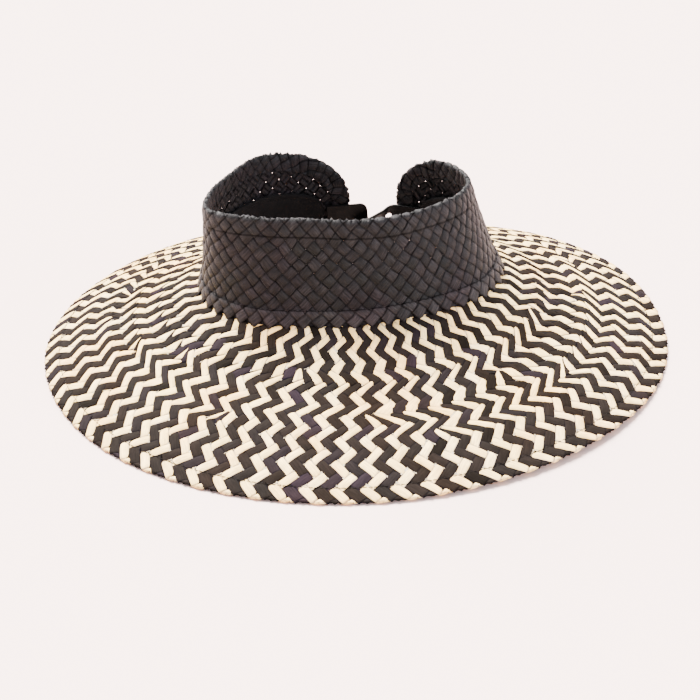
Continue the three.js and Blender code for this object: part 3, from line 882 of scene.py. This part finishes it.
def stitched_line(name, points, facing, material):
    """A row of stitches along a line of points."""
    line = new_object("stitch_line", points, [], {"facing": facing})
    line.data.edges.add(len(points) - 1)
    ends = np.stack([np.arange(len(points) - 1), np.arange(1, len(points))], -1)
    line.data.edges.foreach_set("vertices", ends.ravel())
    line.data.update()
    return plain_piece(name, line, stitching, {
        "Stitch": stitch, "Pitch": stitch_pitch, "Material": material})


stitch = stitch_piece("stitch")
stitching = stitch_tree("stitching")
# Spun polyester sewing thread
brown_thread = speckled_material("brown_sewing_thread", "#0b0806", "#15100c", scale=2500.0, detail=1.0,
                                 roughness=0.6, specular=0.05)


def brim_seam():
    """Points along the row of stitching, and the way that the brim faces at each."""
    edge = brim_edge_line[::5]
    _, inward = past_edge(edge, brim_edge_line, front_middle)
    plan = edge + inward * seam_reach
    angle, radius = polar(plan)
    keep = radius > outline_at("ring", angle) + clear_of_band
    angle, radius = angle[keep], radius[keep]
    step = 0.0005
    ahead = brim_height(angle, radius + step) - brim_height(angle, radius - step)
    tilt = ahead / (2 * step)
    facing = unit(with_third(-round_head(angle, 1.0) * tilt[:, None], 1))
    height = brim_height(angle, radius) + straw_crown - stitch_sunk
    return in_frame(round_head(angle, radius), height), facing


hem_points, hem_facing = brim_seam()
hem_stitches = stitched_line("brim_hem_stitches", hem_points, hem_facing, brown_thread)
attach(hem_stitches, "root")

# Crown band
# One width of the same flat straw, dyed black and plaited a little open, so that light shows through
# at the crossings. It leans in on the right, its ends are rounded, and its free edge is turned in.
band_pitch, band_rise = 0.0100, 0.0100   # width and height of the diamond where two strips cross
band_first_row = 0.0482
band_strip_width = 0.995                 # of its place in the plait, where it is closest
band_fold_radius = 0.00062
band_depth = 0.00068                     # of the plait's middle, behind the band's outer face
band_turned_width = 0.0115
left_corner = (0.050, 0.036)             # length and fall of the rounded ends
right_corner = (0.038, 0.029)
sewn_below = 0.0018                      # the band reaches this far below the ring
band_unevenness = 0.00030
band_chart_size = 0.7
band_chart_height = 0.075


def band_point(angle, height, offset):
    """A point of the band's outer face, moved outward by an offset. It is upright below the ring."""
    rise = np.maximum(height - ring_height, 0)

    def plan_at(a):
        share = rise / (outline_at("top_height", angle) - ring_height)
        ring = outline_at("ring", a)
        return round_head(a, ring + (outline_at("top", a) - ring) * share)

    ahead = unit(plan_at(angle + 0.5) - plan_at(angle - 0.5))
    outward = np.stack([ahead[..., 1], -ahead[..., 0]], -1)
    return in_frame(plan_at(angle) + outward * np.asarray(offset)[..., None], height)


def corner_drop(distance, length, fall):
    left = np.clip(1 - distance / length, 0, 1)
    return fall * (1 - np.sqrt(1 - left ** 2))


def band_top_height(angle):
    across = outline_at("ring", angle) * math.radians(1)
    return (outline_at("top_height", angle) - corner_drop((angle - left_end) * across, *left_corner)
            - corner_drop((right_end - angle) * across, *right_corner))


# Distance along the ring from the front, for every angle
past_ends, ring_samples = 14, 4000       # the first in degrees
ring_angles = np.linspace(left_end - past_ends, right_end + past_ends, ring_samples)
ring_plan = round_head(ring_angles, outline_at("ring", ring_angles))
ring_run = run_along(ring_plan)
ring_run -= np.interp(0, ring_angles, ring_run)


def band_border():
    """Line of the band's free edge, as distance along the ring and height."""
    low = 0.02                           # well below the band's foot
    bend = 1 - np.cos(np.linspace(0, np.pi / 2, 50))
    spans = [math.degrees(length / outline_at("ring", end))
             for (length, _), end in ((left_corner, left_end), (right_corner, right_end))]
    angles = np.concatenate([
        left_end + bend * spans[0],
        np.linspace(left_end + spans[0], right_end - spans[1], 800)[1:-1],
        right_end - bend[::-1] * spans[1]])
    run = np.interp(angles, ring_angles, ring_run)
    top = band_top_height(np.clip(angles, left_end + 1e-6, right_end - 1e-6))
    line = np.stack([run, top], -1)
    return np.concatenate([[[run[0], low]], line, [[run[-1], low]]])


band_edge_line = even_steps(band_border(), edge_step)
band_middle = np.array([0.0, 0.1])


def on_band_chart(flat):
    return 0.5 + (flat - np.array([0, band_chart_height])) / band_chart_size


def band_guide(name, offset, low, high, free_edge, sewn_height, sewn_way):
    """Guide over the band's face, or over a strip round it, at an offset that varies with height.

    A strip without a free edge has its fold as far off as no_seam, so that a seam at no_seam is the
    crease along its sewn edge, which the shader darkens with painted shade.
    """
    columns, rows = 260, 30
    margin = 0.0165                      # past both ends of the band
    left_run, right_run = np.interp([left_end, right_end], ring_angles, ring_run)
    run = np.linspace(left_run - margin, right_run + margin, columns)
    angle = np.repeat(np.interp(run, ring_run, ring_angles)[:, None], rows, 1)
    height = low(angle) + (high(angle) - low(angle)) * np.linspace(0, 1, rows)[None]
    points = band_point(angle, height, offset(height - ring_height))
    flat = np.stack([np.repeat(run[:, None], rows, 1), height], -1)
    zero = 0 * height
    if free_edge:
        outside, inward = past_edge(flat, band_edge_line, band_middle)
    else:
        outside, inward = height - sewn_height - no_seam, np.stack([zero, zero - 1], -1)
    ahead = unit(np.gradient(points, axis=0))
    up = unit(np.gradient(points, axis=1))
    sewn = sewn_way * (sewn_height - height)
    return new_object(name, points, grid_faces(columns, rows), {
        "chart": with_third(on_band_chart(flat), 0),
        "fold": with_third(inward / band_chart_size, outside),
        "inward": inward[..., :1] * ahead + inward[..., 1:] * up,
        "sewn": np.stack([zero, zero + sewn_way / band_chart_size, sewn], -1)})


def weave(rows, first_height):
    """Cells of a plain weave round the band, with the middle and the half diagonal of each.

    A cell is its column, its row and the way in which its strip rises.
    """
    spare = 4
    left_run, right_run = band_edge_line[0, 0], band_edge_line[-1, 0]
    columns = range(int(left_run / band_pitch) - spare, int(right_run / band_pitch) + spare)
    cell = np.array([(column + 0.5 * (row % 2), row, 1 - 2 * (row % 2))
                     for row in rows for column in columns], float)
    middle = np.stack([cell[:, 0] * band_pitch, first_height + cell[:, 1] * band_rise / 2], -1)
    half = np.stack([cell[:, 2] * band_pitch / 4, 0 * cell[:, 0] + band_rise / 4], -1)
    return cell, middle, half


def corners_of(middle, along, across):
    return {(end, side): middle + end * along + side * across for end in (-1, 1) for side in (-1, 1)}


def band_strips(name):
    """Chart of the strips: each point is one whole wave of a strip, over one other and under one."""
    # The plait opens a little towards the back, from this distance along the ring, and in one patch
    open_from, open_ramp = 0.13, 0.05
    patch_run, patch_height = -0.034, 0.089
    patch_length, patch_rise = 0.020, 0.007
    least_narrowing, more_narrowing = 0.015, 0.075
    cell, middle, half = weave(range(-5, 22), band_first_row)
    strand = cell[:, 0] - cell[:, 2] * cell[:, 1] / 2 + 200 * cell[:, 2]
    spread = scattered(strand * 51.7 + cell[:, 1] * 3.3, 913.7)
    ends = np.clip((np.abs(middle[:, 0]) - open_from) / open_ramp, 0, 1)
    patch = np.exp(-(((middle[:, 0] - patch_run) / patch_length) ** 2
                     + ((middle[:, 1] - patch_height) / patch_rise) ** 2))
    narrowing = least_narrowing + more_narrowing * spread
    width = band_strip_width - narrowing * np.maximum(ends, patch)
    corners = corners_of(middle, 2 * half, half * [-1, 1] * width[:, None])
    return chart_points(name, corners, np.ones(len(cell)), cell, on_band_chart, band_chart_size,
                        band_wanted, band_unevenness)


def band_wanted(flat):
    outside, _ = past_edge(flat, band_edge_line, band_middle)
    return (flat[:, 1] > ring_height - spare_reach) & (outside < band_turned_width + spare_reach)


black_tones = ("#101112", "#151616", "#191819", "#1f1e1f", "#161718")
# Painted shade darkens the cracks between its strips and the sewn crease of its turned edge
straw_black = straw_material(
    "dyed_black_straw", black_tones, black_tones, streaks=0.85, edge_shade_start=0.74, edge_shade_tint="#545454",
    dye_tint="#ffeef6", crease_shade=0.4, relief=1.0, roughness=0.5, gloss=0.09)
# The base strip is the same black straw painted lighter, as painted light where its flared foot catches
# more light from above, with painted shade at its cracks and a deeper painted shade at the crease along
# its sewn edge
tones_of_lit_strip = ("#1b1a1a", "#222020", "#262424", "#2c2a2a", "#222122")
straw_black_lit_strip = straw_material(
    "dyed_black_straw_lit_strip", tones_of_lit_strip, tones_of_lit_strip, streaks=0.85, edge_shade_start=0.74,
    edge_shade_tint="#6c6c6c", dye_tint="#ffeef6", crease_shade=0.25, relief=1.0, roughness=0.5, gloss=0.09)

# A long strip makes one whole wave, over one strip and under the next
wave_stations = np.array([-1.0, -0.72, -0.52, -0.36, 0.0, 0.36, 0.52, 0.72, 1.0])
wave = np.array([-0.42, -0.34, -0.08, 0.30, 0.46, 0.30, -0.08, -0.34, -0.42]) * 0.001
wave_lift = 0.00016
long_strip = strip_piece("long_strip", wave_stations, wave + wave_lift, thickness=0.00030,
                         edge_fall=0.00075)
past_foot, past_top = 0.014, 0.018
guide = band_guide(
    "band_guide", lambda rise: 0 * rise - band_depth, lambda a: ring_height - past_foot + 0 * a,
    lambda a: outline_at("top_height", a) + past_top, free_edge=True,
    sewn_height=ring_height - sewn_below, sewn_way=1)
band = plain_piece("band_plait", band_strips("band_chart"), wrap, {
    "Strip": long_strip, "Guide": guide, "Fold radius": band_fold_radius,
    "Turned under": band_turned_width + math.pi * band_fold_radius, "Layer": 0.0, "Side": 1.0,
    "Seam": band_turned_width, "Seam depth": 0.00085, "Step at seam": 0.00050,
    "Wobble": 0.0052, "Open length": 0.52, "Material": straw_black})
bpy.data.objects.remove(guide)
bpy.data.objects.remove(long_strip)
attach(band, "root")
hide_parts("crown_band")

# Base strip
# A narrow strip of black plait, sewn round the foot of the band and turned out a little over the
# brim. Its lower edge shows the corners of its strips.
strip_height = 0.0095
strip_offset = 0.0009                    # of its plait's mean surface, outside the band's face
strip_flare = 0.0011
strip_first_row, strip_rows = 0.0490, 3


def flared(rise):
    """Offset of the strip: turned out at its foot, its upper edge pressed into the band."""
    pressed_width, pressed_depth, flared_share = 0.0022, 0.0011, 0.75
    pressed = np.clip((rise - strip_height) / pressed_width + 1, 0, 1) ** 2 * pressed_depth
    foot = np.clip(1 - rise / (flared_share * strip_height), 0, 1.3)
    return strip_offset + strip_flare * foot ** 2 - pressed


def base_strips(name):
    """Chart of the diamonds, each one strip lying over another. The sewn edge cuts the upper row."""
    left_run, right_run = band_edge_line[0, 0], band_edge_line[-1, 0]
    cell, middle, half = weave(range(strip_rows), strip_first_row)
    corners = corners_of(middle, half, half * [-1, 1] * straw_width)
    return chart_points(name, corners, np.ones(len(cell)), cell, on_band_chart, band_chart_size,
                        lambda flat: (flat[:, 0] > left_run) & (flat[:, 0] < right_run), band_unevenness)


guide_low, guide_high = -0.003, 0.016    # over the ring's height
guide = band_guide(
    "strip_guide", flared, lambda a: ring_height + guide_low + 0 * a,
    lambda a: ring_height + guide_high + 0 * a, free_edge=False,
    sewn_height=ring_height + strip_height, sewn_way=-1)
base = plain_piece("base_strip_plait", base_strips("base_strip_chart"), wrap, {
    "Strip": short_strip, "Guide": guide, "Fold radius": 0.001, "Turned under": no_seam,
    "Layer": 0.0, "Side": 1.0, "Seam": no_seam, "Seam depth": 0.00030, "Step at seam": 0.0,
    "Wobble": 0.0040, "Open length": 1.1, "Material": straw_black_lit_strip})
bpy.data.objects.remove(guide)


def base_strip_core():
    """A layer of painted shade that shows between the strip's diamonds."""
    columns, inset = 180, 0.3            # inset in degrees
    rows = np.array([[0.0030, 0.0040, 0.0050, 0.0060]])
    ends = np.linspace(left_end + inset, right_end - inset, columns)
    angle = np.repeat(ends[:, None], rows.size, 1)
    rise = np.repeat(rows, columns, 0)
    skins = [band_point(angle, ring_height + rise, flared(rise) - depth) for depth in (0.0004, 0.0009)]
    return wall_object("base_strip_backing", skins[0], skins[1], shadow)


base_core = base_strip_core()
for piece in (base, base_core):
    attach(piece, "root")
    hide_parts("base_strip")

# Sweatband
# A smooth black cotton tape inside the foot of the band, folded over at its upper edge. It is sewn
# to the straw below and stops short of the strap's sewn ends.
tape_height, tape_thickness = 0.028, 0.0012
tape_behind = 0.0025                     # its outer face, behind the band's outer face
tape_overlap = 0.001                     # its foot, below the ring's height
tape_stop = 0.018                        # from the band's ends
tape_left_corner = (0.050, 0.015)        # length and fall of its ends
tape_right_corner = (0.045, 0.015)
tape_ripple = 0.00025


def cotton_material():
    """Woven cotton tape: matt black, its threads running along and across."""
    thread_pitch = 0.5                   # in millimetres, as the tape's coordinates
    material, tree = new_material("black_cotton_tape")
    thread = add_node(tree, "ShaderNodeAttribute", {"attribute_name": "strip"})
    tape = parts(tree, thread.outputs["Vector"])
    waves = [number(tree, "SINE", number(tree, "MULTIPLY", tape[axis], 2 * math.pi / thread_pitch))
             for axis in (0, 1)]
    weave = number(tree, "MULTIPLY", *waves)
    tone = mixed(tree, noise(tree, object_place(tree), 90.0, 3.0), "#060606", "#0c0b0b")
    relief = bump(tree, weave, strength=0.5, distance=0.0002)
    finish_material(tree, tone, roughness=0.85, specular=0.1, normal=relief)
    return material


def sweatband():
    """The tape, and its length along the ring."""
    clear = np.degrees(tape_stop / outline_at("ring", np.array([left_end, right_end])))
    angles = np.linspace(left_end + clear[0], right_end - clear[1], 240)
    share = np.array([0, 0.04, 0.25, 0.5, 0.75, 0.86, 0.885, 0.91, 0.97, 1.0])
    swell = np.array([0.3, 0, 0, 0, 0, 0, -0.1, 0.3, 0.35, 0.0]) * 0.001
    angle = np.repeat(angles[:, None], len(share), 1)
    run = np.interp(angles, ring_angles, ring_run)
    tall = (tape_height + tape_overlap - corner_drop(run - run[0], *tape_left_corner)
            - corner_drop(run[-1] - run, *tape_right_corner))
    height = ring_height - tape_overlap + tall[:, None] * share[None]
    turn = np.radians(angle)
    ripple = tape_ripple * np.sin(turn * 23) * np.sin(turn * 7 + 1) * share
    outer = band_point(angle, height, -tape_behind + 0 * height)
    inner = band_point(angle, height, -tape_behind - tape_thickness - swell - ripple)
    made = wall_object("sweatband_tape", outer, inner, cotton_material())
    tape = np.stack([np.repeat(run[:, None], len(share), 1) * 1000, height * 1000, 0 * height], -1)
    layer = made.data.attributes.new("strip", "FLOAT_VECTOR", "POINT")
    layer.data.foreach_set("vector", np.concatenate([tape, tape]).ravel())
    return made, run[-1] - run[0]


tape, tape_length = sweatband()
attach(tape, "root")
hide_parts("sweatband")

# Snap strap
# Two halves of moulded black plastic, each sewn behind one end of the band. The left one is a short
# tab with a raised rim and two pegs; the right one has a row of holes and hangs unfastened.
strap_width, strap_thickness = 0.014, 0.0016
strap_bottom = -0.0005                   # its lower edge, over the ring's height
strap_sewn, strap_turn_start, strap_turn_length = 0.016, 0.015, 0.008
strap_clearance = 0.0008                 # from the inside of the band
band_thickness = 0.002
holes, first_hole, hole_pitch, hole_radius = 4, 0.005, 0.0066, 0.0023
peg_places, peg_radius = (0.0022, 0.0075), 0.0019    # from the band's end


def strap_line(side, droop, turn, twist, length):
    """Places of a strap: a function from distance along, across and through it to points."""
    end = left_end if side > 0 else right_end
    backwards = math.degrees(strap_sewn / outline_at("ring", end))
    height = np.array(ring_height + strap_bottom + strap_width / 2)
    behind = np.array(-band_thickness - strap_clearance - strap_thickness / 2)
    root = band_point(np.array(end + side * backwards), height, behind)
    level = unit(band_point(np.array(end), height, behind) - root)
    along = np.linspace(0, length, 400)
    ease = eased(np.clip((along - strap_turn_start) / strap_turn_length, 0, 1))
    drop, roll, yaw = (np.radians(value) * ease for value in (droop, twist, turn))
    heading = np.stack([
        level[0] * np.cos(yaw) + side * level[1] * np.sin(yaw),
        level[1] * np.cos(yaw) - side * level[0] * np.sin(yaw), 0 * yaw], -1)
    outward = np.stack([heading[:, 1], -heading[:, 0], 0 * yaw], -1) * -side
    forward = heading * np.cos(drop)[:, None]
    forward[:, 2] -= np.sin(drop)
    up = unit(np.cross(forward, outward))
    up = up * np.sign(up[:, 2:])
    across = up * np.cos(roll)[:, None] - outward * np.sin(roll)[:, None]
    through = outward * np.cos(roll)[:, None] + up * np.sin(roll)[:, None]
    step = along[1] - along[0]
    middle = (forward[1:] + forward[:-1]) / 2
    centre = root + np.concatenate([np.zeros((1, 3)), np.cumsum(middle * step, 0)])

    def place(flat):
        def at(values):
            return np.stack([np.interp(flat[..., 0], along, values[:, k]) for k in range(3)], -1)
        return at(centre) + at(across) * flat[..., 1:2] + at(through) * flat[..., 2:3]

    return place


def plastic_material():
    """Injection-moulded polypropylene, black, with a fine satin moulding texture."""
    material, tree = new_material("moulded_black_polypropylene")
    texture = noise(tree, object_place(tree), 1400.0, 2.0)
    scuffs = noise(tree, object_place(tree), 150.0, 3.0)
    tone = mixed(tree, scuffs, "#030303", "#070707")
    satin = ranged(tree, scuffs, 0.3, 0.7, 0.28, 0.46)
    relief = bump(tree, texture, strength=0.15, distance=0.0001)
    finish_material(tree, tone, roughness=satin, specular=0.06, normal=relief)
    return material


def face_outward(piece):
    """Joins points that lie together and turns all faces outward."""
    shape = bmesh.new()
    shape.from_mesh(piece.data)
    bmesh.ops.remove_doubles(shape, verts=shape.verts, dist=1e-7)
    bmesh.ops.recalc_face_normals(shape, faces=shape.faces)
    shape.to_mesh(piece.data)
    shape.free()


def strap_loop(length, upper_corner, lower_corner, inset):
    """Outline of a strap, inset evenly: along its upper side to the tip and back along the lower."""
    sides = []
    for way, corner in ((1, upper_corner), (-1, lower_corner)):
        bend = np.linspace(0, np.pi / 2, 9)
        straight = np.linspace(inset, length - corner, 40)[:-1]
        along = np.concatenate([straight, length - corner + (corner - inset) * np.sin(bend)])
        half = np.concatenate([0 * straight + corner - inset, (corner - inset) * np.cos(bend)])
        half += strap_width / 2 - corner
        sides.append(np.stack([along, way * half], -1)[::way])
    return np.concatenate(sides)


def strap_body(name, place, length, corners, rim_width, rim_height, material):
    """A strap half: rounded at its free end, with a raised rim round its outer face."""
    edge, outer = 0.00025, strap_thickness / 2
    back_inset, rim_slope = 0.0006, 0.0004
    steps = [(back_inset, -outer), (edge, -outer), (0, edge - outer), (0, outer - edge), (edge, outer),
             (rim_width, outer), (rim_width + rim_slope, outer - rim_height)]
    loops = []
    for inset, rise in steps:
        loop = strap_loop(length, *corners, inset)
        loops.append(with_third(loop, rise))
    count = len(loops[0])
    faces = tube_faces(len(loops), count).tolist()
    top = (len(loops) - 1) * count
    for k in range(count // 2 - 1):
        a, b = k, count - 1 - k
        faces.append((a, b, b - 1, a + 1))
        faces.append((top + a + 1, top + b - 1, top + b, top + a))
    made = new_object(name, place(np.array(loops)), faces)
    face_outward(made)
    made.data.materials.append(material)
    made.data.shade_smooth()
    made.data.set_sharp_from_angle(angle=math.radians(50))
    return made


def pin(name, place, centre, radius, low, high, rounding, material):
    """A round pin through a strap, its outer end rounded over."""
    sides = 28
    profile = [(0.0, low), (radius, low)]
    profile += [(radius - rounding * (1 - math.cos(bend)), high - rounding * (1 - math.sin(bend)))
                for bend in np.linspace(0, np.pi / 2, 6)]
    profile.append((0.0, high))
    turn = np.arange(sides) * 2 * np.pi / sides
    flat = np.array([[(centre + r * math.cos(t), r * math.sin(t), h) for r, h in profile] for t in turn])
    rows = len(profile)
    ring = np.arange(sides)[:, None] * rows
    faces = [(int(a + k), int(b + k), int(b + k + 1), int(a + k + 1))
             for a, b in zip(ring[:, 0], np.roll(ring[:, 0], -1)) for k in range(rows - 1)]
    made = new_object(name, place(flat), faces)
    face_outward(made)
    made.data.materials.append(material)
    made.data.shade_smooth()
    return made


def apply_modifiers(piece):
    layers = bpy.context.evaluated_depsgraph_get()
    made = bpy.data.meshes.new_from_object(piece.evaluated_get(layers))
    piece.modifiers.clear()
    piece.data = made


plastic = plastic_material()
spare_length = 0.001
tab_length = strap_sewn + 0.0115
tab_place = strap_line(side=1, droop=-4, turn=0, twist=0, length=tab_length + spare_length)
tab = strap_body("peg_tab", tab_place, tab_length, corners=(0.005, 0.003), rim_width=0.0013,
                 rim_height=0.0004, material=plastic)
pegs = [pin(f"peg_{peg}", tab_place, strap_sewn + along, peg_radius, low=0.0003, high=0.0032,
            rounding=0.0009, material=plastic)
        for peg, along in enumerate(peg_places, 1)]
for piece in (tab, *pegs):
    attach(piece, "root")
    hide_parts("snap_strap_pegs")

holed_length = strap_sewn + 0.030
holed_place = strap_line(side=-1, droop=25, turn=32, twist=26, length=holed_length + spare_length)
holed = strap_body("holed_strap", holed_place, holed_length, corners=(0.005, 0.005), rim_width=0.0011,
                   rim_height=0.0002, material=plastic)
for hole in range(holes):
    cutter = pin("hole_cutter", holed_place, strap_sewn + first_hole + hole * hole_pitch, hole_radius,
                 low=-0.002, high=0.002, rounding=0.0001, material=plastic)
    cut = holed.modifiers.new("hole", "BOOLEAN")
    cut.object, cut.operation, cut.solver = cutter, "DIFFERENCE", "EXACT"
    apply_modifiers(holed)
    bpy.data.objects.remove(cutter)
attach(holed, "root")
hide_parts("snap_strap_holes")

bpy.data.objects.remove(short_strip)
bpy.data.objects.remove(stitch)
